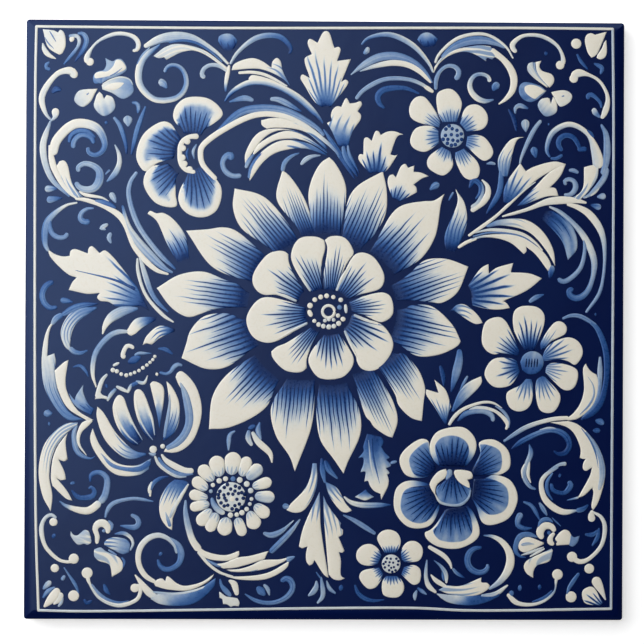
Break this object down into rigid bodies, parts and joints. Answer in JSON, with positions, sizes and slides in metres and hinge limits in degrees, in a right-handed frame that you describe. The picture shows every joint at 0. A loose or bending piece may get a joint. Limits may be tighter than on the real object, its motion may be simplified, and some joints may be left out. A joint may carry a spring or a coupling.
{
  "type": "decorative ceramic tile",
  "caption": "Square glazed wall tile with a cushion edge, a keyed back and a navy face bearing cream and blue traditional flowers and scrolls.",
  "frame": {"origin": "middle of the back, on the plane that the back's rim and ribs lie in", "axes": "+Z out of the decorated face, +Y towards the top of the picture, +X to its right"},
  "size_m": [0.1524, 0.1524, 0.0065],
  "materials": {
    "navy_glaze": "glossy deep blue glaze over a buff fired body, bare on the back",
    "cream_slip": "glossy cream slip, slightly raised, shaded with washes of cobalt",
    "cobalt_wash": "glossy mid blue wash, brushed thinly over the ground"
  },
  "bodies": {
    "root": {"tile": "navy_glaze"}
  },
  "joints": []
}
